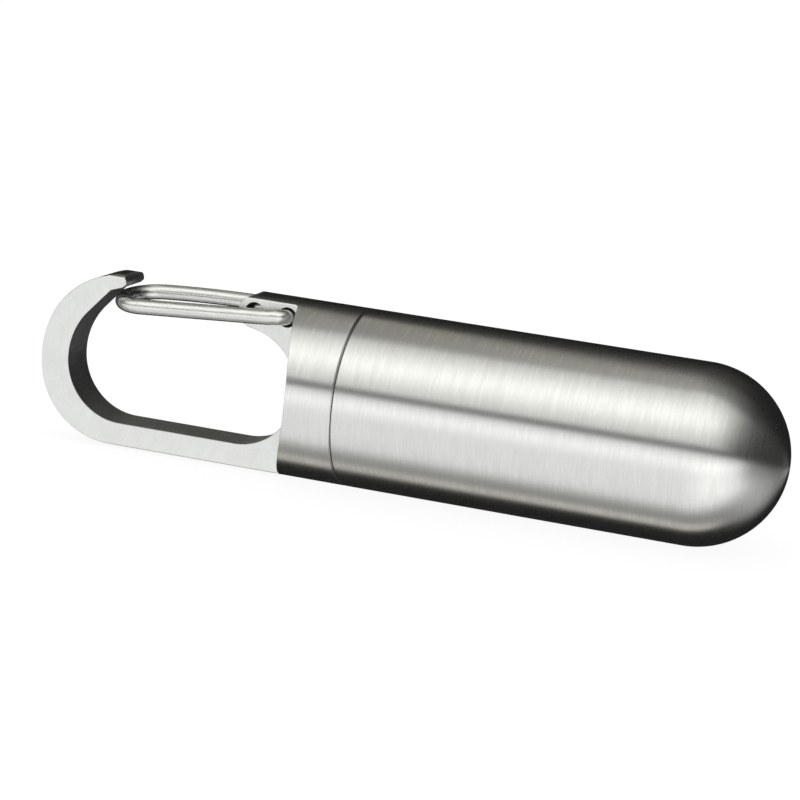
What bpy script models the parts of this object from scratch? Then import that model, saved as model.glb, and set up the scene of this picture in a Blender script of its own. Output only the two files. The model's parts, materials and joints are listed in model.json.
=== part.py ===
"""A carabiner capsule: a screw-top stainless container whose cap is one piece with a snap hook.

It lies on its side with the hook's spine down. +X runs along the capsule from the hook to
the dome, +Y across the flat hook, +Z up. The origin is under the middle of the box, on the
surface it lies on. Lengths are in millimetres until they go into a mesh.
"""

import math

import bmesh
import bpy
from mathutils import Vector

MM = 0.001

# Driving dimensions
OUTER_RADIUS = 11.0
BODY_LENGTH = 53.3
HOOK_REACH = 41.8
PLATE_HALF = 2.8
BORE_RADIUS = 8.35
WIRE_RADIUS = 0.96
PITCH = 1.5

# Places: shapes are drawn with x from the seam and z from the screw axis
SEAM_X = (HOOK_REACH - BODY_LENGTH) / 2
AXIS_Z = OUTER_RADIUS
SEAM_GAP = 0.15
EDGE_BREAK = 0.2

# Spigot, thread and seal
NECK_RADIUS = 9.15
COUNTERBORE_RADIUS = 9.45
COUNTERBORE_DEPTH = 3.2
GROOVE_RADIUS = 7.85
GROOVE_START = 0.7
GROOVE_END = 2.5
NECK_LENGTH = 3.0
NECK_CHAMFER = 0.6
CORE_RADIUS = 8.15
SPIGOT_LENGTH = 12.0
SPIGOT_CHAMFER = 0.5
MOUTH_CHAMFER = 0.3
THREAD_HEIGHT = 0.8
CREST_WIDTH = 0.25
FLANK_PLAY = 0.12
FLANK_SLOPE = math.tan(math.radians(30))
MALE_START = 4.3
MALE_TURNS = 4.25
FEMALE_START = MALE_START - 2 * PITCH
FEMALE_TURNS = 8.0
RIDGE_SINK = 0.25
RUN_OUT_SINK = 0.1
RUN_OUT_TURNS = 1 / 6
RELIEF_START = 12.1
RELIEF_RUN_IN = 0.6
RELIEF_END = 14.0
RELIEF_RADIUS = 9.25
RING_SECTION = 0.68
RING_RADIUS = 8.65

# Hook, in the plane of its flats
MILL_RADIUS = 25.0
MILL_CENTRE = (-31.0, 0.5)
LOOP_LEFT = (-30.55, -0.2, 7.6)
LOOP_SHOULDER_RADIUS = 8.8
LOOP_SHOULDER_TURN = 42
LOOP_RIGHT = (-15.0, -0.4, 7.4)
CROWN_RADIUS = 11.0
HEEL_RADIUS = 9.95
HEEL_Z = -0.7
SPINE_TAPER_LENGTH = 8.0
NOSE_END = -31.05
NOSE_CORNER = 0.9
NOSE_CORNER_TURN = 75
NOSE_ROOT = (-33.05, 8.84)
NOSE_LIP = (-31.5, 9.38)
NOSE_LIP_RISE = 0.4

# Gate
PIVOT_Z = 8.95
FRONT_PIVOT_X = -9.5
REAR_PIVOT_X = -13.8
PIVOT_HOLE_RADIUS = 1.23
EAR_X = -14.0
EAR_RADIUS = 1.95
LEG_Y = 3.95
PIN_BEND = 1.2
PIN_TIP_Y = 1.6
BOW_X = -28.2
FRONT_BOW_Z = 7.62
REAR_BOW_Z = 8.4
FRONT_SAG_SLOPE = 0.09
REAR_SAG_SLOPE = 0.077

# Facets, and how far a cutter reaches past what it cuts
ROUND = 48
ARC_SAG = 0.015
WIRE_SIDES = 10
LEG_STEPS = 8
BOW_STEPS = 18
BEYOND = 4.0
CLEAR = 1.0


def clear_scene():
    for thing in list(bpy.data.objects):
        bpy.data.objects.remove(thing)


def steel(name, colour, roughness, metallic=1.0):
    material = bpy.data.materials.new(name)
    material.use_nodes = True
    shader = material.node_tree.nodes["Principled BSDF"]
    shader.inputs["Base Color"].default_value = (*colour, 1)
    shader.inputs["Roughness"].default_value = roughness
    shader.inputs["Metallic"].default_value = metallic
    return material


def add_object(name, bm, origin, material=None):
    """Turns a bmesh drawn about origin (x from the seam, y, z from the axis) into an object placed there."""
    bmesh.ops.recalc_face_normals(bm, faces=bm.faces)
    bmesh.ops.scale(bm, vec=(MM, MM, MM), verts=bm.verts)
    mesh = bpy.data.meshes.new(name)
    bm.to_mesh(mesh)
    bm.free()
    mesh.shade_smooth()
    mesh.set_sharp_from_angle(angle=math.radians(35))
    thing = bpy.data.objects.new(name, mesh)
    bpy.context.scene.collection.objects.link(thing)
    x, y, z = origin
    thing.location = ((SEAM_X + x) * MM, y * MM, (AXIS_Z + z) * MM)
    if material:
        mesh.materials.append(material)
    else:
        thing.hide_render = True
        thing.display_type = "WIRE"
    return thing


def boolean(target, cutter, operation):
    modifier = target.modifiers.new(cutter.name, "BOOLEAN")
    modifier.operation = operation
    modifier.solver = "EXACT"
    modifier.object = cutter


def arc(centre_x, centre_z, radius, start, end):
    """Points of an arc, with angles in degrees from +X towards +Z. Its chords stay within ARC_SAG of it."""
    step = math.degrees(2 * math.acos(1 - ARC_SAG / radius))
    steps = math.ceil(abs(end - start) / step)
    angles = [math.radians(start + (end - start) * i / steps) for i in range(steps + 1)]
    return [(centre_x + radius * math.cos(a), centre_z + radius * math.sin(a)) for a in angles]


def join_rings(bm, rings):
    for one, other in zip(rings, rings[1:]):
        for i in range(len(one)):
            j = (i + 1) % len(one)
            bm.faces.new((one[i], one[j], other[j], other[i]))


def turned(profile):
    """Spins (x, radius) points about the X axis. The profile starts and ends on the axis."""
    bm = bmesh.new()
    rings = []
    for x, radius in profile[1:-1]:
        turn = [2 * math.pi * i / ROUND for i in range(ROUND)]
        rings.append([bm.verts.new((x, radius * math.cos(a), radius * math.sin(a))) for a in turn])
    join_rings(bm, rings)
    for (x, _), ring in ((profile[0], rings[0]), (profile[-1], rings[-1])):
        tip = bm.verts.new((x, 0, 0))
        for i in range(ROUND):
            bm.faces.new((tip, ring[i], ring[(i + 1) % ROUND]))
    return bm


def prism(outline, low_y, high_y):
    """Extrudes an (x, z) outline across the hook."""
    bm = bmesh.new()
    near = [bm.verts.new((x, low_y, z)) for x, z in outline]
    far = [bm.verts.new((x, high_y, z)) for x, z in outline]
    join_rings(bm, [near, far])
    bm.faces.new(near)
    bm.faces.new(far)
    return bm


def helix_ridge(start_x, turns, root_radius, crest_radius, crest_width, end_radius=None):
    """A right-handed thread ridge about the X axis. With end_radius, both ends run out to that radius."""
    bm = bmesh.new()
    steps = round(turns * ROUND)
    run_out = RUN_OUT_TURNS * ROUND
    rings = []
    for i in range(steps + 1):
        angle = 2 * math.pi * i / ROUND
        x = start_x + PITCH * i / ROUND
        crest = crest_radius
        if end_radius:
            share = min(1, i / run_out, (steps - i) / run_out)
            crest = end_radius + (crest_radius - end_radius) * share
        half_crest = crest_width / 2
        half_root = half_crest + (crest_radius - root_radius) * FLANK_SLOPE
        section = (
            (x - half_root, root_radius),
            (x - half_crest, crest),
            (x + half_crest, crest),
            (x + half_root, root_radius),
        )
        rings.append([bm.verts.new((sx, r * math.cos(angle), r * math.sin(angle))) for sx, r in section])
    join_rings(bm, rings)
    bm.faces.new(rings[0])
    bm.faces.new(rings[-1])
    return bm


def tube(path, radius, sides):
    """Sweeps a circle along a list of points, turning the section as little as possible."""
    bm = bmesh.new()
    points = [Vector(p) for p in path]
    rings = []
    side = None
    for i, point in enumerate(points):
        ahead = points[min(i + 1, len(points) - 1)] - point
        behind = point - points[max(i - 1, 0)]
        tangent = (ahead.normalized() + behind.normalized()).normalized()
        if side is None:
            side = tangent.orthogonal().normalized()
        side = (side - tangent * side.dot(tangent)).normalized()
        up = tangent.cross(side)
        ring = []
        for k in range(sides):
            a = 2 * math.pi * k / sides
            ring.append(bm.verts.new(point + radius * (side * math.cos(a) + up * math.sin(a))))
        rings.append(ring)
    join_rings(bm, rings)
    bm.faces.new(rings[0])
    bm.faces.new(rings[-1])
    return bm


def body_profile():
    dome_x = BODY_LENGTH - OUTER_RADIUS
    mouth = SEAM_GAP / 2
    outside = arc(dome_x, 0, OUTER_RADIUS, 0, 90)
    inside = arc(dome_x, 0, BORE_RADIUS, 90, 0)
    middle = [
        (mouth + EDGE_BREAK, OUTER_RADIUS),
        (mouth, OUTER_RADIUS - EDGE_BREAK),
        (mouth, COUNTERBORE_RADIUS + MOUTH_CHAMFER),
        (mouth + MOUTH_CHAMFER, COUNTERBORE_RADIUS),
        (COUNTERBORE_DEPTH, COUNTERBORE_RADIUS),
        (COUNTERBORE_DEPTH + COUNTERBORE_RADIUS - BORE_RADIUS, BORE_RADIUS),
        (RELIEF_START, BORE_RADIUS),
        (RELIEF_START + RELIEF_RUN_IN, RELIEF_RADIUS),
        (RELIEF_END, RELIEF_RADIUS),
        (RELIEF_END + RELIEF_RADIUS - BORE_RADIUS, BORE_RADIUS),
    ]
    return outside + middle + inside


def capsule_body(material):
    body = add_object("capsule_body", turned(body_profile()), (0, 0, 0), material)
    root = BORE_RADIUS - RIDGE_SINK
    crest = BORE_RADIUS + THREAD_HEIGHT
    width_at_bore = CREST_WIDTH + 2 * (CORE_RADIUS + THREAD_HEIGHT - BORE_RADIUS) * FLANK_SLOPE
    crest_width = width_at_bore + 2 * FLANK_PLAY - 2 * THREAD_HEIGHT * FLANK_SLOPE
    cutter = helix_ridge(FEMALE_START, FEMALE_TURNS, root, crest, crest_width)
    boolean(body, add_object("cut_female_thread", cutter, (0, 0, 0)), "DIFFERENCE")
    return body


def head_profile():
    shoulder = -SEAM_GAP / 2
    left = -HOOK_REACH - BEYOND
    return [
        (left, 0),
        (left, OUTER_RADIUS),
        (shoulder - EDGE_BREAK, OUTER_RADIUS),
        (shoulder, OUTER_RADIUS - EDGE_BREAK),
        (shoulder, NECK_RADIUS),
        (GROOVE_START, NECK_RADIUS),
        (GROOVE_START, GROOVE_RADIUS),
        (GROOVE_END, GROOVE_RADIUS),
        (GROOVE_END, NECK_RADIUS),
        (NECK_LENGTH, NECK_RADIUS),
        (NECK_LENGTH + NECK_CHAMFER, CORE_RADIUS),
        (SPIGOT_LENGTH - SPIGOT_CHAMFER, CORE_RADIUS),
        (SPIGOT_LENGTH, CORE_RADIUS - SPIGOT_CHAMFER),
        (SPIGOT_LENGTH, 0),
    ]


def hook_outline():
    """The head's silhouette seen square on to its flats, clockwise from above the spigot."""
    right = SPIGOT_LENGTH + BEYOND
    top = OUTER_RADIUS + BEYOND
    crown_x = CROWN_RADIUS - HOOK_REACH
    heel_x = HEEL_RADIUS - HOOK_REACH
    corner_x = NOSE_END - NOSE_CORNER
    corner_z = math.sqrt(CROWN_RADIUS**2 - (corner_x - crown_x) ** 2) - NOSE_CORNER
    crown_stop = math.degrees(math.atan2(corner_z + NOSE_CORNER, corner_x - crown_x))
    left_x, left_z, left_r = LOOP_LEFT
    shoulder_x = left_x - left_r + LOOP_SHOULDER_RADIUS
    right_x, right_z, right_r = LOOP_RIGHT
    ear_turn = math.degrees(math.atan2(PIVOT_Z - right_z, EAR_X - right_x))
    taper_x = heel_x + SPINE_TAPER_LENGTH
    outline = [(right, top), (right, -top), (taper_x, -top), (taper_x, -OUTER_RADIUS - ARC_SAG)]
    outline += arc(heel_x, HEEL_Z, HEEL_RADIUS, 270, 180)
    outline += arc(crown_x, 0, CROWN_RADIUS, 180, crown_stop)
    outline += arc(corner_x, corner_z, NOSE_CORNER, NOSE_CORNER_TURN, 0)
    outline += [(NOSE_END, NOSE_LIP[1] + NOSE_LIP_RISE), NOSE_LIP, NOSE_ROOT]
    outline += arc(shoulder_x, left_z, LOOP_SHOULDER_RADIUS, 180 - LOOP_SHOULDER_TURN, 180)
    outline += arc(left_x, left_z, left_r, 180, 270)[1:]
    outline += arc(right_x, right_z, right_r, -90, ear_turn)
    outline += arc(EAR_X, PIVOT_Z, EAR_RADIUS, 180 + ear_turn, 90)
    outline.append((EAR_X, top))
    return outline


def flat_cutter(side):
    """What the face mill takes off one side: everything up to the arc that its rim leaves at the cap."""
    centre_x, centre_z = MILL_CENTRE
    edge = OUTER_RADIUS + CLEAR
    reach = math.degrees(math.asin(edge / MILL_RADIUS))
    far = -HOOK_REACH - 2 * BEYOND
    outline = arc(centre_x, centre_z, MILL_RADIUS, -reach, reach)
    outline += [(far, centre_z + edge), (far, centre_z - edge)]
    low, high = sorted((side * PLATE_HALF, side * edge))
    return prism(outline, low, high)


def carabiner_head(material):
    head = add_object("carabiner_head", turned(head_profile()), (0, 0, 0), material)
    root = CORE_RADIUS - RIDGE_SINK
    crest = CORE_RADIUS + THREAD_HEIGHT
    ridge = helix_ridge(MALE_START, MALE_TURNS, root, crest, CREST_WIDTH, CORE_RADIUS - RUN_OUT_SINK)
    boolean(head, add_object("add_male_thread", ridge, (0, 0, 0)), "UNION")
    silhouette = prism(hook_outline(), -OUTER_RADIUS - CLEAR, OUTER_RADIUS + CLEAR)
    boolean(head, add_object("keep_hook_outline", silhouette, (0, 0, 0)), "INTERSECT")
    for side, name in ((-1, "front"), (1, "rear")):
        boolean(head, add_object(f"cut_{name}_flat", flat_cutter(side), (0, 0, 0)), "DIFFERENCE")
    for pivot_x, name in ((FRONT_PIVOT_X, "front"), (REAR_PIVOT_X, "rear")):
        circle = arc(pivot_x, PIVOT_Z, PIVOT_HOLE_RADIUS, 0, 360)[:-1]
        hole = prism(circle, -PLATE_HALF - CLEAR, PLATE_HALF + CLEAR)
        boolean(head, add_object(f"cut_{name}_pivot", hole, (0, 0, 0)), "DIFFERENCE")
    return head


def leg_heights(share):
    """Heights of the front and the rear leg's centre lines at a share of the way from bow to pivot."""
    front = FRONT_BOW_Z + (PIVOT_Z - FRONT_BOW_Z) * share
    rear = PIVOT_Z - (PIVOT_Z - REAR_BOW_Z) * (1 - share) ** 2
    return front, rear


def gate_path():
    """Centre line of the bent wire: front pin, front leg, bow under the nose, rear leg."""
    corner = arc(FRONT_PIVOT_X - PIN_BEND, -LEG_Y + PIN_BEND, PIN_BEND, 0, -90)
    path = [(FRONT_PIVOT_X, PIN_TIP_Y, PIVOT_Z)] + [(x, y, PIVOT_Z) for x, y in corner]
    front_run = FRONT_PIVOT_X - PIN_BEND - BOW_X
    for i in range(1, LEG_STEPS + 1):
        x = BOW_X + front_run * (1 - i / LEG_STEPS)
        path.append((x, -LEG_Y, leg_heights((x - BOW_X) / (FRONT_PIVOT_X - BOW_X))[0]))
    bow_length = math.pi * LEG_Y
    for i in range(1, BOW_STEPS + 1):
        t = i / BOW_STEPS
        blend = t * t * (3 - 2 * t)
        sag = FRONT_SAG_SLOPE * t * (1 - t) ** 2 + REAR_SAG_SLOPE * t * t * (1 - t)
        angle = math.pi * t
        z = FRONT_BOW_Z + (REAR_BOW_Z - FRONT_BOW_Z) * blend - sag * bow_length
        path.append((BOW_X - LEG_Y * math.sin(angle), -LEG_Y * math.cos(angle), z))
    rear_run = REAR_PIVOT_X + WIRE_RADIUS - BOW_X
    for i in range(1, LEG_STEPS + 1):
        x = BOW_X + rear_run * i / LEG_STEPS
        path.append((x, LEG_Y, leg_heights(min(1, (x - BOW_X) / (REAR_PIVOT_X - BOW_X)))[1]))
    return path


def gate_wire(material):
    """Its origin is on the front pivot. The rear leg stops beside its pivot hole, clear of the plate."""
    pivot = (FRONT_PIVOT_X, 0, PIVOT_Z)
    path = [(x - pivot[0], y, z - pivot[2]) for x, y, z in gate_path()]
    return add_object("gate_wire", tube(path, WIRE_RADIUS, WIRE_SIDES), pivot, material)


def neck_o_ring(material):
    middle = (GROOVE_START + GROOVE_END) / 2
    bm = bmesh.new()
    rings = []
    for i in range(ROUND):
        a = 2 * math.pi * i / ROUND
        ring = []
        for dx, dr in arc(0, 0, RING_SECTION, 0, 360)[:-1]:
            r = RING_RADIUS + dr
            ring.append(bm.verts.new((dx, r * math.cos(a), r * math.sin(a))))
        rings.append(ring)
    join_rings(bm, rings + rings[:1])
    return add_object("neck_o_ring", bm, (middle, 0, 0), material)


def build():
    clear_scene()
    capsule_body(steel("turned_steel", (0.62, 0.61, 0.58), 0.32))
    carabiner_head(steel("milled_steel", (0.72, 0.72, 0.71), 0.38))
    gate_wire(steel("spring_wire", (0.66, 0.65, 0.62), 0.22))
    neck_o_ring(steel("seal_rubber", (0.02, 0.02, 0.02), 0.55, metallic=0.0))


build()
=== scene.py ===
"""Looks of the carabiner capsule: turned, brushed steel, milled flats and a bright spring wire.

Shapes are drawn in millimetres with x from the seam, and y and z from the screw axis, as the
design has them. Each piece's origin is on the axis at the seam, so its textures follow the turning.
"""

import json
import math

import bmesh
import bpy
from mathutils import Matrix, Vector


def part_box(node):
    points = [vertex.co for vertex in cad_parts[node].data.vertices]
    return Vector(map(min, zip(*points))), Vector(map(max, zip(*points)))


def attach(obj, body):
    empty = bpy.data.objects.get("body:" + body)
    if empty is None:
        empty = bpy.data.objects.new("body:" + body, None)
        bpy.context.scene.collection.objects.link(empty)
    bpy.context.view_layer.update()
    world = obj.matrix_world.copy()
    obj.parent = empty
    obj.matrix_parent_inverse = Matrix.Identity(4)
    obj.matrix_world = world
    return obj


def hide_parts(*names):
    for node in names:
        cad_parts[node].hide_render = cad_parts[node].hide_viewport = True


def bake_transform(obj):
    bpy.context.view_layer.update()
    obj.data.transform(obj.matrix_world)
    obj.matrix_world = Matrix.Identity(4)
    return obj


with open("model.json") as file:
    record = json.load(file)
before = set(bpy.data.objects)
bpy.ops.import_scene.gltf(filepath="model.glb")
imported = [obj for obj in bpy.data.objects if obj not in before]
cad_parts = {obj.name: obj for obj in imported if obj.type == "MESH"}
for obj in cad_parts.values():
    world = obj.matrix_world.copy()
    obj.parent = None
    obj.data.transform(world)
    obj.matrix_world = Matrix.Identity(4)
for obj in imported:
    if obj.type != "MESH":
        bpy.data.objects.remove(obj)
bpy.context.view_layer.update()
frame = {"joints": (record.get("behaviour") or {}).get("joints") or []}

MM = 0.001

# From the frame
BODY_LOW, BODY_HIGH = (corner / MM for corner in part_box("capsule_body"))
HEAD_LOW, HEAD_HIGH = (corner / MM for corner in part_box("carabiner_head"))
RING_LOW, RING_HIGH = (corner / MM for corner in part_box("neck_o_ring"))
GATE_PIVOT = Vector(next(j["pos_m"] for j in frame["joints"] if j["name"] == "gate_hinge")) / MM
CAD_SEAM_GAP = 0.15
SEAM_X = BODY_LOW.x - CAD_SEAM_GAP / 2
AXIS_Z = (BODY_LOW.z + BODY_HIGH.z) / 2
OUTER_RADIUS = (BODY_HIGH.z - BODY_LOW.z) / 2
BODY_LENGTH = BODY_HIGH.x - SEAM_X
HOOK_REACH = SEAM_X - HEAD_LOW.x
SPIGOT_LENGTH = HEAD_HIGH.x - SEAM_X
DOME_X = BODY_LENGTH - OUTER_RADIUS
RING_SECTION = (RING_HIGH.x - RING_LOW.x) / 2
RING_RADIUS = (RING_HIGH.z - RING_LOW.z) / 2 - RING_SECTION
RING_X = (RING_LOW.x + RING_HIGH.x) / 2 - SEAM_X

# Body, neck and thread, as in the design
SEAM_GAP = 0.1
SEAM_BREAK = 0.15
EDGE_BREAK = 0.06
BORE_RADIUS = 8.35
NECK_RADIUS = 9.15
COUNTERBORE_RADIUS = 9.45
COUNTERBORE_DEPTH = 3.2
MOUTH_CHAMFER = 0.3
GROOVE_RADIUS = 7.85
GROOVE_START = 0.7
GROOVE_END = 2.5
NECK_LENGTH = 3.0
NECK_CHAMFER = 0.6
CORE_RADIUS = 8.15
SPIGOT_CHAMFER = 0.5
END_RING_RADIUS = 0.5
PITCH = 1.5
THREAD_HEIGHT = 0.8
CREST_WIDTH = 0.25
FLANK_PLAY = 0.12
FLANK_SLOPE = math.tan(math.radians(30))
MALE_START = 4.3
MALE_TURNS = 4.25
FEMALE_START = MALE_START - 2 * PITCH
FEMALE_TURNS = 8.0
RIDGE_SINK = 0.25
RUN_OUT_SINK = 0.1
RUN_OUT_TURNS = 1 / 6
RELIEF_START = 12.1
RELIEF_RUN_IN = 0.6
RELIEF_END = 14.0
RELIEF_RADIUS = 9.25

# Hook
PLATE_HALF = 2.8
MILL_RADIUS = 25.0
MILL_CENTRE = (-31.0, 0.5)
MILL_CORNER = 0.25
LOOP_LEFT = (-30.55, -0.2, 7.6)
LOOP_SHOULDER_RADIUS = 8.8
LOOP_SHOULDER_TURN = 42
LOOP_RIGHT = (-15.0, -0.4, 7.4)
CROWN_RADIUS = 11.0
HEEL_RADIUS = 9.95
HEEL_Z = -0.7
SPINE_TAPER_LENGTH = 8.0
NOSE_END = -31.05
NOSE_CORNER = 0.9
NOSE_CORNER_TURN = 75
NOSE_ROOT = (-33.05, 8.84)
NOSE_LIP = (-31.5, 9.38)
NOSE_LIP_RISE = 0.4
EAR_X = -14.0
EAR_RADIUS = 1.95
PIVOT_HOLE_RADIUS = 1.23
HOOK_BREAK = 0.09
HOLE_BREAK = 0.05
# Section of an edge break, in shares of its size: depth below the face, and how far it draws in
BREAK_SECTION = ((1, 0), (0.293, 0.293), (-0.147, 1.35))
LEAST_RISE = 0.01
BAR_STOP = 0.1

# Gate wire
WIRE_RADIUS = 0.96
FRONT_PIVOT_X = GATE_PIVOT.x - SEAM_X
PIVOT_Z = GATE_PIVOT.z - AXIS_Z
REAR_PIVOT_X = -13.8
LEG_Y = 3.95
PIN_BEND = 1.2
PIN_TIP_Y = 1.6
REAR_PIN_SHIFT = 0.2
FILED_END = [(0.18, 0.6), (0.15, 0.8), (0.08, 0.94)]  # beyond the end, and the share of the radius
BOW_X = -28.2
FRONT_BOW_Z = 7.62
REAR_BOW_Z = 8.4
FRONT_SAG_SLOPE = 0.09
REAR_SAG_SLOPE = 0.077
PIN_LIFT = 0.05

# Fineness
ROUND = 192
ARC_SAG = 0.0015
WIRE_SIDES = 40
LEG_STEPS = 24
BOW_STEPS = 60
BEYOND = 4.0
CLEAR = 1.0

# Camera, from the seam on the axis
CAMERA_PLACE = (102.3, -311.6, 70.8)
CAMERA_YAW = 17.335
CAMERA_PITCH = 12.158
CAMERA_ROLL = 5.717
CAMERA_LENS = 123.14

# Head material slots
TURNED, MILLED, WALL = 0, 1, 2


# Meshes


def arc(centre_x, centre_z, radius, start, end, sag=ARC_SAG):
    """Points of an arc, with angles in degrees from +X towards +Z and chords within sag of it."""
    step = math.degrees(2 * math.acos(1 - sag / radius))
    steps = math.ceil(abs(end - start) / step)
    angles = [math.radians(start + (end - start) * i / steps) for i in range(steps + 1)]
    return [(centre_x + radius * math.cos(a), centre_z + radius * math.sin(a)) for a in angles]


def rounded(points, radius, least_turn=20):
    """Replaces each sharp corner of an open line of points with a small curve."""
    out = [points[0]]
    for before, corner, after in zip(points, points[1:], points[2:]):
        corner = Vector(corner)
        back, on = Vector(before) - corner, Vector(after) - corner
        turn = math.pi - back.angle(on)
        if math.degrees(turn) < least_turn:
            out.append(tuple(corner))
            continue
        reach = min(radius * math.tan(turn / 2), 0.45 * back.length, 0.45 * on.length)
        start, end = corner + back.normalized() * reach, corner + on.normalized() * reach
        for i in range(5):
            t = i / 4
            out.append(tuple(start * (1 - t) ** 2 + corner * 2 * t * (1 - t) + end * t**2))
    out.append(points[-1])
    return out


def join_rings(bm, rings, material=0):
    for one, other in zip(rings, rings[1:]):
        for i in range(len(one)):
            j = (i + 1) % len(one)
            bm.faces.new((one[i], one[j], other[j], other[i])).material_index = material


def turned(profile):
    """Spins (x, radius) points about the X axis. The profile starts and ends on the axis."""
    bm = bmesh.new()
    rings = []
    for x, radius in profile[1:-1]:
        turn = [2 * math.pi * i / ROUND for i in range(ROUND)]
        rings.append([bm.verts.new((x, radius * math.cos(a), radius * math.sin(a))) for a in turn])
    join_rings(bm, rings)
    for (x, _), ring in ((profile[0], rings[0]), (profile[-1], rings[-1])):
        tip = bm.verts.new((x, 0, 0))
        for i in range(ROUND):
            bm.faces.new((tip, ring[i], ring[(i + 1) % ROUND]))
    return bm


def helix_ridge(start_x, turns, root_radius, crest_radius, crest_width, end_radius=None):
    """A right-handed thread ridge about the X axis. With end_radius, both ends run out to it."""
    bm = bmesh.new()
    steps = round(turns * ROUND)
    run_out = RUN_OUT_TURNS * ROUND
    rings = []
    for i in range(steps + 1):
        angle = 2 * math.pi * i / ROUND
        x = start_x + PITCH * i / ROUND
        crest = crest_radius
        if end_radius:
            share = min(1, i / run_out, (steps - i) / run_out)
            crest = end_radius + (crest_radius - end_radius) * share
        half_crest = crest_width / 2
        half_root = half_crest + (crest_radius - root_radius) * FLANK_SLOPE
        section = (
            (x - half_root, root_radius),
            (x - half_crest, crest),
            (x + half_crest, crest),
            (x + half_root, root_radius),
        )
        rings.append([bm.verts.new((sx, r * math.cos(angle), r * math.sin(angle))) for sx, r in section])
    join_rings(bm, rings)
    bm.faces.new(rings[0])
    bm.faces.new(rings[-1])
    return bm


def tube(path, radius, capped=(True, True)):
    """Sweeps a circle along points, turning the section as little as possible.
    A capped end is filed round."""
    bm = bmesh.new()
    points = [Vector(p) for p in path]
    rings = []
    side = None
    for i, point in enumerate(points):
        ahead = points[min(i + 1, len(points) - 1)] - point
        behind = point - points[max(i - 1, 0)]
        tangent = (ahead.normalized() + behind.normalized()).normalized()
        if side is None:
            side = tangent.orthogonal().normalized()
        side = (side - tangent * side.dot(tangent)).normalized()
        up = tangent.cross(side)
        sections = [(0, 1)]
        if i == 0 and capped[0]:
            sections = [(-shift, share) for shift, share in FILED_END] + sections
        if i == len(points) - 1 and capped[1]:
            sections = sections + FILED_END[::-1]
        for shift, share in sections:
            ring = []
            for k in range(WIRE_SIDES):
                a = 2 * math.pi * k / WIRE_SIDES
                spoke = side * math.cos(a) + up * math.sin(a)
                ring.append(bm.verts.new(point + tangent * shift + radius * share * spoke))
            rings.append(ring)
    join_rings(bm, rings)
    if capped[0]:
        bm.faces.new(rings[0])
    if capped[1]:
        bm.faces.new(rings[-1])
    return bm


def add_object(name, bm, materials=(), closed=True):
    if closed:
        bmesh.ops.recalc_face_normals(bm, faces=bm.faces)
    bmesh.ops.scale(bm, vec=(MM, MM, MM), verts=bm.verts)
    mesh = bpy.data.meshes.new(name)
    bm.to_mesh(mesh)
    bm.free()
    for material in materials:
        mesh.materials.append(material)
    thing = bpy.data.objects.new(name, mesh)
    bpy.context.scene.collection.objects.link(thing)
    thing.location = (SEAM_X * MM, 0, AXIS_Z * MM)
    return thing


def smooth(thing, angle=30):
    thing.data.shade_smooth()
    thing.data.set_sharp_from_angle(angle=math.radians(angle))


def boolean(target, cutter, operation):
    """Cuts, joins or keeps with the cutter, applies it, and removes the cutter."""
    modifier = target.modifiers.new(cutter.name, "BOOLEAN")
    modifier.operation = operation
    modifier.solver = "EXACT"
    modifier.object = cutter
    bpy.context.view_layer.update()
    graph = bpy.context.evaluated_depsgraph_get()
    mesh = bpy.data.meshes.new_from_object(target.evaluated_get(graph))
    target.modifiers.clear()
    target.data = mesh
    bpy.data.objects.remove(cutter)


# Pieces


def body_profile():
    mouth = SEAM_GAP / 2
    outside = arc(DOME_X, 0, OUTER_RADIUS, 0, 90)
    inside = arc(DOME_X, 0, BORE_RADIUS, 90, 0)
    middle = [
        (mouth + SEAM_BREAK, OUTER_RADIUS),
        (mouth, OUTER_RADIUS - SEAM_BREAK),
        (mouth, COUNTERBORE_RADIUS + MOUTH_CHAMFER),
        (mouth + MOUTH_CHAMFER, COUNTERBORE_RADIUS),
        (COUNTERBORE_DEPTH, COUNTERBORE_RADIUS),
        (COUNTERBORE_DEPTH + COUNTERBORE_RADIUS - BORE_RADIUS, BORE_RADIUS),
        (RELIEF_START, BORE_RADIUS),
        (RELIEF_START + RELIEF_RUN_IN, RELIEF_RADIUS),
        (RELIEF_END, RELIEF_RADIUS),
        (RELIEF_END + RELIEF_RADIUS - BORE_RADIUS, BORE_RADIUS),
    ]
    return outside + rounded([outside[-1]] + middle + [inside[0]], EDGE_BREAK)[1:-1] + inside


def capsule_shell(material):
    shell = add_object("capsule_shell", turned(body_profile()), [material])
    root = BORE_RADIUS - RIDGE_SINK
    crest = BORE_RADIUS + THREAD_HEIGHT
    width_at_bore = CREST_WIDTH + 2 * (CORE_RADIUS + THREAD_HEIGHT - BORE_RADIUS) * FLANK_SLOPE
    crest_width = width_at_bore + 2 * FLANK_PLAY - 2 * THREAD_HEIGHT * FLANK_SLOPE
    thread = helix_ridge(FEMALE_START, FEMALE_TURNS, root, crest, crest_width)
    boolean(shell, add_object("female_thread", thread), "DIFFERENCE")
    smooth(shell)
    return shell


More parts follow.
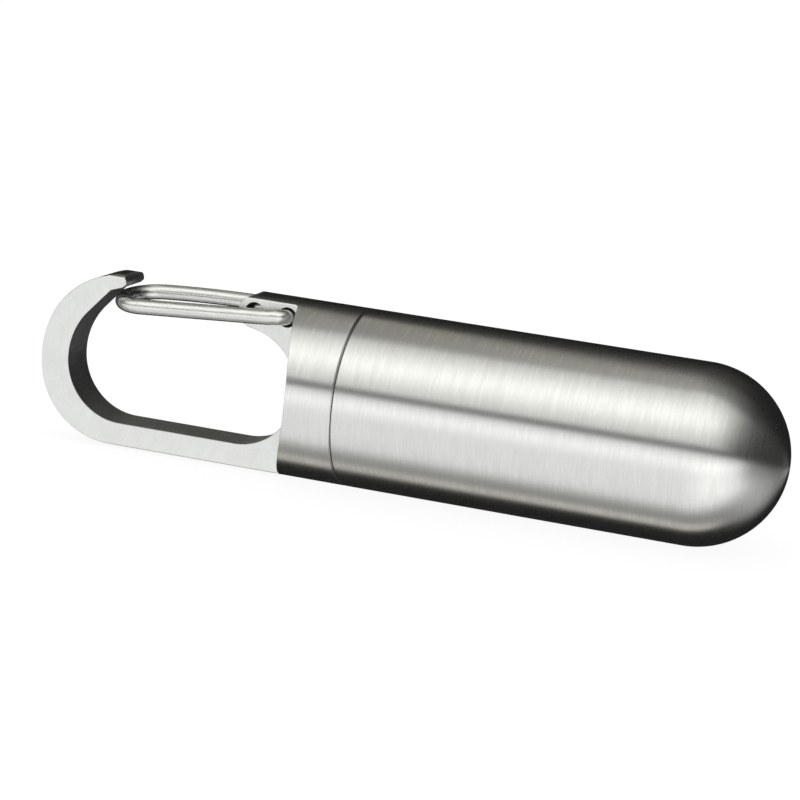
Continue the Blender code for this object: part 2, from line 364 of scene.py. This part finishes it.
def head_profile():
    shoulder = -SEAM_GAP / 2
    left = -HOOK_REACH - BEYOND
    sharp = [
        (left, OUTER_RADIUS),
        (shoulder - SEAM_BREAK, OUTER_RADIUS),
        (shoulder, OUTER_RADIUS - SEAM_BREAK),
        (shoulder, NECK_RADIUS),
        (GROOVE_START, NECK_RADIUS),
        (GROOVE_START, GROOVE_RADIUS),
        (GROOVE_END, GROOVE_RADIUS),
        (GROOVE_END, NECK_RADIUS),
        (NECK_LENGTH, NECK_RADIUS),
        (NECK_LENGTH + NECK_CHAMFER, CORE_RADIUS),
        (SPIGOT_LENGTH - SPIGOT_CHAMFER, CORE_RADIUS),
        (SPIGOT_LENGTH, CORE_RADIUS - SPIGOT_CHAMFER),
        (SPIGOT_LENGTH, END_RING_RADIUS),
    ]
    return [(left, 0)] + rounded(sharp, EDGE_BREAK) + [(SPIGOT_LENGTH, 0)]


def hook_outline():
    """The head's silhouette seen square on to its flats, clockwise from above the spigot, in two
    runs of points: the outside, where the crown and the heel are turned, and the inside, which is
    milled."""
    right = SPIGOT_LENGTH + BEYOND
    top = OUTER_RADIUS + BEYOND
    crown_x = CROWN_RADIUS - HOOK_REACH
    heel_x = HEEL_RADIUS - HOOK_REACH
    corner_x = NOSE_END - NOSE_CORNER
    corner_z = math.sqrt(CROWN_RADIUS**2 - (corner_x - crown_x) ** 2) - NOSE_CORNER
    crown_stop = math.degrees(math.atan2(corner_z + NOSE_CORNER, corner_x - crown_x))
    left_x, left_z, left_r = LOOP_LEFT
    shoulder_x = left_x - left_r + LOOP_SHOULDER_RADIUS
    right_x, right_z, right_r = LOOP_RIGHT
    ear_turn = math.degrees(math.atan2(PIVOT_Z - right_z, EAR_X - right_x))
    taper_x = heel_x + SPINE_TAPER_LENGTH
    outside = [(right, top), (right, -top), (taper_x, -top), (taper_x, -OUTER_RADIUS - ARC_SAG)]
    outside += arc(heel_x, HEEL_Z, HEEL_RADIUS, 270, 180)
    outside += arc(crown_x, 0, CROWN_RADIUS, 180, crown_stop)
    inside = arc(corner_x, corner_z, NOSE_CORNER, NOSE_CORNER_TURN, 0)
    inside += [(NOSE_END, NOSE_LIP[1] + NOSE_LIP_RISE), NOSE_LIP, NOSE_ROOT]
    inside += arc(shoulder_x, left_z, LOOP_SHOULDER_RADIUS, 180 - LOOP_SHOULDER_TURN, 180)
    inside += arc(left_x, left_z, left_r, 180, 270)[1:]
    inside += arc(right_x, right_z, right_r, -90, ear_turn)
    inside += arc(EAR_X, PIVOT_Z, EAR_RADIUS, 180 + ear_turn, 90)
    inside.append((EAR_X, top))
    return outside, inside


def shrunk(outline, distance):
    """A closed clockwise line of points, moved inwards along the mitre of each corner."""
    out = []
    for i, corner in enumerate(outline):
        corner = Vector(corner)
        back = (corner - Vector(outline[i - 1])).normalized()
        on = (Vector(outline[(i + 1) % len(outline)]) - corner).normalized()
        inward = Vector((back.y + on.y, -back.x - on.x)) / (1 + back.dot(on))
        out.append(tuple(corner + inward * distance))
    return out


def prism(runs, half_width, edge_break):
    """Extrudes a clockwise outline, given as (points, material) runs, across the hook. Towards the
    plate's faces the outline draws in by edge_break, or opens out where that is negative."""
    outline = [point for points, _ in runs for point in points]
    finish = [material for points, material in runs for _ in points]
    leans = [(half_width, BREAK_SECTION[-1][1])]
    for depth, share in reversed(BREAK_SECTION):
        leans.append((PLATE_HALF - depth * abs(edge_break), share))
    sections = [(-y, share) for y, share in leans] + [(y, share) for y, share in reversed(leans)]
    bm = bmesh.new()
    rings = []
    for y, share in sections:
        rings.append([bm.verts.new((x, y, z)) for x, z in shrunk(outline, share * edge_break)])
    for one, other in zip(rings, rings[1:]):
        for i, material in enumerate(finish):
            j = (i + 1) % len(outline)
            bm.faces.new((one[i], one[j], other[j], other[i])).material_index = material
    bm.faces.new(rings[0])
    bm.faces.new(rings[-1])
    return bm


def bar(section, low_x, high_x, material):
    """Extrudes a (y, z) section along X."""
    bm = bmesh.new()
    rings = [[bm.verts.new((x, y, z)) for y, z in section] for x in (low_x, high_x)]
    join_rings(bm, rings, material)
    bm.faces.new(rings[0])
    bm.faces.new(rings[1])
    return bm


def shoulder_x(z):
    return MILL_CENTRE[0] + math.sqrt(MILL_RADIUS**2 - (z - MILL_CENTRE[1]) ** 2)


def flat_cutter(side):
    """What the face mill takes off one side. Its corner leaves a small fillet below the cap's shoulder,
    and its wall leans back where it comes out of the cap, for the shoulder's edge break."""
    centre_x, centre_z = MILL_CENTRE
    edge = OUTER_RADIUS + CLEAR
    reach = math.degrees(math.asin(edge / (MILL_RADIUS - MILL_CORNER)))
    far = -HOOK_REACH - 2 * BEYOND
    directions = arc(0, 0, 1, -reach, reach, ARC_SAG / MILL_RADIUS)
    turns = [math.radians(a) for a in range(0, 91, 15)]
    fillet = [(MILL_CORNER * (1 - math.cos(a)), MILL_CORNER * (math.sin(a) - 1)) for a in turns]
    leans = [(depth * HOOK_BREAK, out * HOOK_BREAK) for depth, out in BREAK_SECTION]
    rings = []
    for rise, out in fillet:
        rings.append([(c, s, PLATE_HALF + rise, MILL_RADIUS + out) for c, s in directions])
    for level, (depth, out) in enumerate(leans, 1):
        ring = []
        for c, s in directions:
            z = centre_z + MILL_RADIUS * s
            surface_y = math.sqrt(max((OUTER_RADIUS - depth) ** 2 - z * z, 0))
            least_y = PLATE_HALF + MILL_CORNER + LEAST_RISE * level
            ring.append((c, s, max(surface_y, least_y), MILL_RADIUS + out))
        rings.append(ring)
    rings.append([(c, s, edge, MILL_RADIUS + leans[-1][1]) for c, s in directions])
    bm = bmesh.new()
    made = []
    for ring in rings:
        points = [(centre_x + r * c, side * y, centre_z + r * s) for c, s, y, r in ring]
        low_y, high_y = points[0][1], points[-1][1]
        points += [(far, high_y, centre_z + edge), (far, low_y, centre_z - edge)]
        made.append([bm.verts.new(point) for point in points])
    join_rings(bm, made, WALL)
    for ring in (made[0], made[-1]):
        bm.faces.new(ring).material_index = MILLED
    return bm


def edge_break_bar(side, up):
    """Takes the sharp edge off where a flat meets the turned surface, as far as the cap's shoulder."""
    corner = Vector((PLATE_HALF, math.sqrt(OUTER_RADIUS**2 - PLATE_HALF**2)))
    down = corner - Vector((0, HOOK_BREAK))
    tangent = Vector((-corner.y, corner.x)).normalized()
    along = corner + tangent * HOOK_BREAK
    slope = (along - down) * 0.5
    section = [down - slope, along + slope, corner + Vector((0.5, 1))]
    low_x, high_x = -HOOK_REACH - BEYOND, shoulder_x(up * corner.y) - MILL_CORNER - BAR_STOP
    return bar([(side * y, up * z) for y, z in section], low_x, high_x, MILLED)


def carabiner_hook(materials):
    head = add_object("carabiner_hook", turned(head_profile()), materials)
    outside, inside = hook_outline()
    silhouette = prism([(outside, TURNED), (inside, WALL)], OUTER_RADIUS + CLEAR, HOOK_BREAK)
    boolean(head, add_object("hook_outline", silhouette, materials), "INTERSECT")
    for side in (-1, 1):
        boolean(head, add_object("flat", flat_cutter(side), materials), "DIFFERENCE")
        for up in (-1, 1):
            boolean(head, add_object("edge_break", edge_break_bar(side, up), materials), "DIFFERENCE")
    for pivot_x in (FRONT_PIVOT_X, REAR_PIVOT_X):
        circle = arc(pivot_x, PIVOT_Z, PIVOT_HOLE_RADIUS, 360, 0)[:-1]
        hole = prism([(circle, WALL)], PLATE_HALF + CLEAR, -HOLE_BREAK)
        boolean(head, add_object("pivot_hole", hole, materials), "DIFFERENCE")
    root = CORE_RADIUS - RIDGE_SINK
    crest = CORE_RADIUS + THREAD_HEIGHT
    ridge = helix_ridge(MALE_START, MALE_TURNS, root, crest, CREST_WIDTH, CORE_RADIUS - RUN_OUT_SINK)
    boolean(head, add_object("male_thread", ridge, materials), "UNION")
    smooth(head, 10)
    return head


def leg_heights(share):
    """Heights of the front and the rear leg's centre lines at a share of the way from bow to pivot."""
    front = FRONT_BOW_Z + (PIVOT_Z + PIN_LIFT - FRONT_BOW_Z) * share
    rear = PIVOT_Z - (PIVOT_Z - REAR_BOW_Z) * (1 - share) ** 2
    return front, rear


def front_path():
    """Front pin, front leg and bow, up to where the rear leg starts."""
    corner = arc(FRONT_PIVOT_X - PIN_BEND, -LEG_Y + PIN_BEND, PIN_BEND, 0, -90)
    pin_z = PIVOT_Z + PIN_LIFT
    path = [(FRONT_PIVOT_X, PIN_TIP_Y, PIVOT_Z)] + [(x, y, pin_z) for x, y in corner]
    front_run = FRONT_PIVOT_X - PIN_BEND - BOW_X
    for i in range(1, LEG_STEPS + 1):
        x = BOW_X + front_run * (1 - i / LEG_STEPS)
        path.append((x, -LEG_Y, leg_heights((x - BOW_X) / (FRONT_PIVOT_X - BOW_X))[0]))
    bow_length = math.pi * LEG_Y
    for i in range(1, BOW_STEPS + 1):
        t = i / BOW_STEPS
        blend = t * t * (3 - 2 * t)
        sag = FRONT_SAG_SLOPE * t * (1 - t) ** 2 + REAR_SAG_SLOPE * t * t * (1 - t)
        angle = math.pi * t
        z = FRONT_BOW_Z + (REAR_BOW_Z - FRONT_BOW_Z) * blend - sag * bow_length
        path.append((BOW_X - LEG_Y * math.sin(angle), -LEG_Y * math.cos(angle), z))
    return path


def rear_path():
    """Rear leg and rear pin, from the bow."""
    path = []
    rear_run = REAR_PIVOT_X - PIN_BEND - BOW_X
    for i in range(LEG_STEPS + 1):
        x = BOW_X + rear_run * i / LEG_STEPS
        path.append((x, LEG_Y, leg_heights((x - BOW_X) / (REAR_PIVOT_X - BOW_X))[1]))
    end_z = path[-1][2]
    for x, y in arc(REAR_PIVOT_X - PIN_BEND, LEG_Y - PIN_BEND, PIN_BEND, 90, 0)[1:]:
        path.append((x, y, end_z))
    path.append((REAR_PIVOT_X + REAR_PIN_SHIFT, -PIN_TIP_Y, PIVOT_Z))
    return path


def gate_pieces(material):
    """The wire in two lengths: the first swings with the gate, the second runs from the bow to the rear
    pivot.
    """
    whole = front_path() + rear_path()[1:]
    split = len(front_path())
    front = add_object("gate_front", tube(whole, WIRE_RADIUS), [material])
    bm = bmesh.new()
    bm.from_mesh(front.data)
    end_rings = len(FILED_END)
    mesh_rings = end_rings + len(whole) + end_rings
    bm.verts.ensure_lookup_table()
    assert len(bm.verts) == mesh_rings * WIRE_SIDES
    rear_bm = bm.copy()
    last_front = (end_rings + split) * WIRE_SIDES
    bmesh.ops.delete(bm, geom=bm.verts[last_front:], context="VERTS")
    rear_bm.verts.ensure_lookup_table()
    bmesh.ops.delete(rear_bm, geom=rear_bm.verts[: last_front - WIRE_SIDES], context="VERTS")
    bm.to_mesh(front.data)
    bm.free()
    mesh = bpy.data.meshes.new("gate_rear")
    rear_bm.to_mesh(mesh)
    rear_bm.free()
    mesh.materials.append(material)
    rear = bpy.data.objects.new("gate_rear", mesh)
    bpy.context.scene.collection.objects.link(rear)
    rear.location = front.location
    smooth(front)
    smooth(rear)
    return front, rear


def seal_ring(material):
    bm = bmesh.new()
    rings = []
    for i in range(ROUND):
        a = 2 * math.pi * i / ROUND
        ring = []
        for dx, dr in arc(0, 0, RING_SECTION, 0, 360)[:-1]:
            r = RING_RADIUS + dr
            ring.append(bm.verts.new((RING_X + dx, r * math.cos(a), r * math.sin(a))))
        rings.append(ring)
    join_rings(bm, rings + rings[:1])
    ring = add_object("seal_ring", bm, [material])
    smooth(ring)
    return ring


# Materials


def new_tree(name):
    material = bpy.data.materials.new(name)
    material.use_nodes = True
    return material, material.node_tree, material.node_tree.nodes["Principled BSDF"]


def put(tree, target, value):
    """Sets an input, or links it when the value is another node's output."""
    if isinstance(value, bpy.types.NodeSocket):
        tree.links.new(value, target)
    else:
        target.default_value = value


def maths(tree, operation, *values):
    node = tree.nodes.new("ShaderNodeMath")
    node.operation = operation
    for target, value in zip(node.inputs, values):
        put(tree, target, value)
    return node.outputs[0]


def times(tree, one, other):
    return maths(tree, "MULTIPLY", one, other)


def plus(tree, one, other):
    return maths(tree, "ADD", one, other)


def minus(tree, one, other):
    return maths(tree, "SUBTRACT", one, other)


def vector(tree, x, y, z):
    node = tree.nodes.new("ShaderNodeCombineXYZ")
    for target, value in zip(node.inputs, (x, y, z)):
        put(tree, target, value)
    return node.outputs[0]


def ramp(tree, value, low, high, out_low=0.0, out_high=1.0):
    """Eases from out_low to out_high as the value goes from low to high."""
    node = tree.nodes.new("ShaderNodeMapRange")
    node.interpolation_type = "SMOOTHSTEP"
    for name, setting in (
        ("Value", value),
        ("From Min", low),
        ("From Max", high),
        ("To Min", out_low),
        ("To Max", out_high),
    ):
        put(tree, node.inputs[name], setting)
    return node.outputs[0]


def noise(tree, where, scale=1.0, detail=2.0, roughness=0.5, distortion=0.0):
    node = tree.nodes.new("ShaderNodeTexNoise")
    put(tree, node.inputs["Vector"], where)
    for name, setting in (
        ("Scale", scale),
        ("Detail", detail),
        ("Roughness", roughness),
        ("Distortion", distortion),
    ):
        node.inputs[name].default_value = setting
    return node.outputs["Fac"]


def mix_colour(tree, share, one, other):
    node = tree.nodes.new("ShaderNodeMix")
    node.data_type = "RGBA"
    put(tree, node.inputs["Factor"], share)
    put(tree, node.inputs["A"], one)
    put(tree, node.inputs["B"], other)
    return node.outputs["Result"]


def bump(tree, shader, height, depth_mm, strength=1.0):
    node = tree.nodes.new("ShaderNodeBump")
    node.inputs["Strength"].default_value = strength
    node.inputs["Distance"].default_value = depth_mm * MM
    put(tree, node.inputs["Height"], height)
    put(tree, shader.inputs["Normal"], node.outputs[0])


def place_mm(tree):
    """The point on the piece in millimetres, from the seam on the axis."""
    coordinates = tree.nodes.new("ShaderNodeTexCoord")
    scale = tree.nodes.new("ShaderNodeVectorMath")
    scale.operation = "SCALE"
    tree.links.new(coordinates.outputs["Object"], scale.inputs[0])
    scale.inputs["Scale"].default_value = 1 / MM
    split = tree.nodes.new("ShaderNodeSeparateXYZ")
    tree.links.new(scale.outputs[0], split.inputs[0])
    return scale.outputs[0], split.outputs[0], split.outputs[1], split.outputs[2]


def set_tangent(tree, shader, axis, anisotropy, turn):
    tangent = tree.nodes.new("ShaderNodeTangent")
    tangent.direction_type = "RADIAL"
    tangent.axis = axis
    tree.links.new(tangent.outputs[0], shader.inputs["Tangent"])
    shader.inputs["Anisotropic"].default_value = anisotropy
    shader.inputs["Anisotropic Rotation"].default_value = turn


def turned_steel():
    """Fine brushing round the axis, with rougher tool rings at the tip of the dome."""
    material, tree, shader = new_tree("turned_steel")
    _, x, y, z = place_mm(tree)
    radius = maths(tree, "SQRT", plus(tree, times(tree, y, y), times(tree, z, z)))
    radius = maths(tree, "MAXIMUM", radius, 0.01)
    past = maths(tree, "MAXIMUM", minus(tree, x, DOME_X), 0.0)
    turn = maths(tree, "ARCTAN2", past, radius)
    along = plus(tree, maths(tree, "MINIMUM", x, DOME_X), times(tree, turn, OUTER_RADIUS))
    around_y, around_z = maths(tree, "DIVIDE", y, radius), maths(tree, "DIVIDE", z, radius)

    def lines(per_mm, length_share):
        return vector(
            tree,
            times(tree, along, per_mm),
            times(tree, around_y, length_share),
            times(tree, around_z, length_share),
        )

    fine = noise(tree, lines(5.0, 4.0), detail=3.0, roughness=0.6)
    broad = noise(tree, lines(1.3, 2.0), detail=2.0)
    streaks = plus(tree, times(tree, fine, 0.65), times(tree, broad, 0.35))
    tip = ramp(tree, radius, 4.5, 1.0)
    dome = ramp(tree, x, DOME_X + 4, DOME_X + 9)
    rings = times(tree, tip, dome)
    colour = mix_colour(
        tree, ramp(tree, streaks, 0.35, 0.65), (0.63, 0.628, 0.615, 1), (0.68, 0.678, 0.665, 1)
    )
    put(tree, shader.inputs["Base Color"], colour)
    rough = ramp(tree, streaks, 0.35, 0.65, 0.31, 0.27)
    put(tree, shader.inputs["Roughness"], plus(tree, rough, times(tree, rings, 0.1)))
    shader.inputs["Metallic"].default_value = 1.0
    set_tangent(tree, shader, "X", 0.85, 0.25)
    bump(tree, shader, streaks, 0.001)
    return material


def milled_steel():
    """Matt flats with the faint arcs that the face mill leaves, parallel to the cap's shoulder."""
    material, tree, shader = new_tree("milled_steel")
    place, x, y, z = place_mm(tree)
    rise = minus(tree, z, MILL_CENTRE[1])
    depth = maths(tree, "SQRT", minus(tree, MILL_RADIUS**2, times(tree, rise, rise)))
    feed = minus(tree, x, depth)
    grain = noise(
        tree,
        vector(tree, times(tree, feed, 5.0), times(tree, z, 0.35), y),
        detail=3.0,
        roughness=0.6,
    )
    speckle = noise(tree, place, scale=5.0, detail=3.0, roughness=0.7)
    cloud = noise(tree, place, scale=0.35, detail=2.0)
    height = plus(tree, times(tree, grain, 0.35), times(tree, speckle, 0.65))
    shade = plus(tree, times(tree, height, 0.7), times(tree, cloud, 0.3))
    colour = mix_colour(
        tree, ramp(tree, shade, 0.36, 0.64), (0.655, 0.66, 0.65, 1), (0.725, 0.73, 0.72, 1)
    )
    put(tree, shader.inputs["Base Color"], colour)
    put(tree, shader.inputs["Roughness"], ramp(tree, height, 0.35, 0.65, 0.47, 0.4))
    shader.inputs["Metallic"].default_value = 1.0
    bump(tree, shader, height, 0.004)
    return material


def wall_steel():
    """Walls cut with the side of an end mill: lines across the thickness, and faint feed waves."""
    material, tree, shader = new_tree("wall_steel")
    place, x, y, z = place_mm(tree)
    lines = noise(
        tree,
        vector(tree, times(tree, x, 4.0), times(tree, y, 0.5), times(tree, z, 4.0)),
        detail=3.0,
        roughness=0.6,
    )
    mottle = noise(tree, place, scale=1.2, detail=4.0, roughness=0.6)
    shade = plus(tree, times(tree, lines, 0.5), times(tree, mottle, 0.5))
    colour = mix_colour(
        tree, ramp(tree, shade, 0.35, 0.65), (0.50, 0.50, 0.50, 1), (0.66, 0.66, 0.65, 1)
    )
    put(tree, shader.inputs["Base Color"], colour)
    put(tree, shader.inputs["Roughness"], ramp(tree, shade, 0.35, 0.65, 0.45, 0.33))
    shader.inputs["Metallic"].default_value = 1.0
    bump(tree, shader, shade, 0.01)
    return material


def spring_wire():
    """Bright drawn wire: faint drawing lines, a few rub marks."""
    material, tree, shader = new_tree("spring_wire")
    place, x, y, z = place_mm(tree)
    drawn = noise(
        tree,
        vector(tree, times(tree, x, 0.4), times(tree, y, 6.0), times(tree, z, 6.0)),
        detail=3.0,
    )
    rubs = noise(tree, place, scale=1.6, detail=4.0, roughness=0.65)
    colour = mix_colour(
        tree, ramp(tree, drawn, 0.35, 0.65), (0.60, 0.60, 0.585, 1), (0.70, 0.70, 0.685, 1)
    )
    put(tree, shader.inputs["Base Color"], colour)
    put(tree, shader.inputs["Roughness"], ramp(tree, rubs, 0.45, 0.7, 0.25, 0.36))
    shader.inputs["Metallic"].default_value = 1.0
    bump(tree, shader, drawn, 0.003)
    return material


def seal_rubber():
    material, tree, shader = new_tree("seal_rubber")
    place, _, _, _ = place_mm(tree)
    grain = noise(tree, place, scale=9.0, detail=3.0)
    colour = mix_colour(
        tree, ramp(tree, grain, 0.35, 0.7), (0.012, 0.012, 0.013, 1), (0.03, 0.03, 0.03, 1)
    )
    put(tree, shader.inputs["Base Color"], colour)
    put(tree, shader.inputs["Roughness"], ramp(tree, grain, 0.35, 0.7, 0.38, 0.55))
    bump(tree, shader, grain, 0.004)
    return material


# Studio


def window(tree, value, low, high, soft_low, soft_high):
    """1 between low and high, easing to 0 over the soft widths."""
    rise = ramp(tree, value, low - soft_low, low + soft_low)
    fall = ramp(tree, value, high + soft_high, high - soft_high)
    return times(tree, rise, fall)


# Softboxes and cards of the light tent: name, angles round the capsule's axis (0 in front, 90 overhead,
# -90 below, 180 behind), the softness of those two edges, where it starts and ends along the axis (as
# the x of a direction), its softness there, how its angles shift with x, its colour and its strength.
CARDS = (
    ("upper_softbox", (22.5, 91), (3, 8), (-0.9, 0.64), 0.12, 0, (1.0, 1.0, 0.97), 0.96),
    ("upper_core", (41, 73), (15, 17), (-0.9, 0.55), 0.2, 0, (1.0, 1.0, 0.96), 0.60),
    ("overhead_fall_off", (88, 112), (4, 20), (-0.9, 0.5), 0.15, 0, (1.0, 1.0, 0.95), 0.36),
    ("rear_top_card", (103, 117), (2, 2), (-0.9, -0.17), 0.03, -160, (1.0, 0.97, 0.84), 0.80),
    ("rear_top_tail", (110, 146), (5, 20), (-0.9, 0.3), 0.2, 0, (1.0, 0.98, 0.9), 0.05),
    ("lower_softbox", (-65, 14), (12, 2.5), (-1.05, 0.93), 0.05, 0, (1.0, 1.01, 1.0), 1.02),
    ("lower_edge_glow", (-8, 6), (10, 8), (-0.95, 0.9), 0.1, 0, (1.0, 1.01, 1.0), 0.40),
    ("lower_right_core", (-58, 2), (22, 8), (0.2, 0.88), 0.08, 0, (1.0, 1.0, 0.99), 0.42),
    ("under_fall_off", (-98, -66), (3, 12), (-0.95, 0.5), 0.12, 0, (1.0, 1.0, 0.95), 0.33),
    ("rear_bottom_card", (-99, -86), (2, 3), (-0.95, 0.35), 0.12, 0, (1.0, 0.97, 0.86), 0.40),
    ("lower_right_tail", (-150, -70), (25, 15), (0.65, 0.95), 0.3, 0, (1.0, 1.0, 1.0), 0.75),
)
CARD_MIDDLE_X = -0.25
TENT_DARK = 0.018


def light_tent():
    """White to the camera; in reflections, softboxes and cards standing round a dark studio."""
    world = bpy.data.worlds.new("light_tent")
    bpy.context.scene.world = world
    world.use_nodes = True
    tree = world.node_tree
    backdrop = tree.nodes["Background"]
    coordinates = tree.nodes.new("ShaderNodeTexCoord")
    split = tree.nodes.new("ShaderNodeSeparateXYZ")
    tree.links.new(coordinates.outputs["Generated"], split.inputs[0])
    x, y, z = split.outputs
    angle = times(tree, maths(tree, "ARCTAN2", z, times(tree, y, -1.0)), 180 / math.pi)
    total = vector(tree, TENT_DARK, TENT_DARK, TENT_DARK)
    for card in CARDS:
        _, (low, high), (soft_low, soft_high), (left, right), soft_side, slant, colour, strength = card
        shift = times(tree, minus(tree, x, CARD_MIDDLE_X), slant)
        mask = times(
            tree,
            window(tree, minus(tree, angle, shift), low, high, soft_low, soft_high),
            window(tree, x, left, right, soft_side, soft_side),
        )
        glow = tree.nodes.new("ShaderNodeVectorMath")
        glow.operation = "MULTIPLY_ADD"
        tree.links.new(vector(tree, mask, mask, mask), glow.inputs[0])
        glow.inputs[1].default_value = [channel * strength for channel in colour]
        tree.links.new(total, glow.inputs[2])
        total = glow.outputs[0]
    path = tree.nodes.new("ShaderNodeLightPath")
    white = maths(tree, "MAXIMUM", path.outputs["Is Camera Ray"], path.outputs["Is Diffuse Ray"])
    tree.links.new(mix_colour(tree, white, total, (1, 1, 1, 1)), backdrop.inputs["Color"])
    world.cycles.sampling_method = "NONE"


def floor():
    """Pale table that glows a little, so that the contact shadow stays faint."""
    bm = bmesh.new()
    bmesh.ops.create_grid(bm, x_segments=1, y_segments=1, size=3)
    mesh = bpy.data.meshes.new("floor")
    bm.to_mesh(mesh)
    bm.free()
    table = bpy.data.objects.new("floor", mesh)
    bpy.context.scene.collection.objects.link(table)
    table.location.z = -0.0001
    material, tree, shader = new_tree("pale_table")
    shader.inputs["Base Color"].default_value = (0.12, 0.12, 0.12, 1)
    shader.inputs["Roughness"].default_value = 1.0
    shader.inputs["Specular IOR Level"].default_value = 0.0
    shader.inputs["Emission Color"].default_value = (1, 1, 1, 1)
    shader.inputs["Emission Strength"].default_value = 0.9
    mesh.materials.append(material)
    table.visible_glossy = False


def camera():
    data = bpy.data.cameras.new("camera")
    data.lens = CAMERA_LENS
    data.clip_start = 0.01
    thing = bpy.data.objects.new("camera", data)
    bpy.context.scene.collection.objects.link(thing)
    place = Vector(CAMERA_PLACE) + Vector((SEAM_X, 0, AXIS_Z))
    thing.matrix_world = (
        Matrix.Translation(place * MM)
        @ Matrix.Rotation(math.radians(CAMERA_YAW), 4, "Z")
        @ Matrix.Rotation(math.radians(90 - CAMERA_PITCH), 4, "X")
        @ Matrix.Rotation(math.radians(CAMERA_ROLL), 4, "Z")
    )
    bpy.context.scene.camera = thing


def build():
    steel = turned_steel()
    wire = spring_wire()

    shell = capsule_shell(steel)
    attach(shell, "capsule")
    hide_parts("capsule_body")

    head = carabiner_hook([steel, milled_steel(), wall_steel()])
    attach(head, "head")
    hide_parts("carabiner_head")

    front, rear = gate_pieces(wire)
    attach(front, "gate")
    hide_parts("gate_wire")
    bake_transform(rear)

    ring = seal_ring(seal_rubber())
    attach(ring, "seal")
    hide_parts("neck_o_ring")


bpy.context.scene.view_settings.view_transform = "Standard"
camera()
light_tent()
floor()
build()
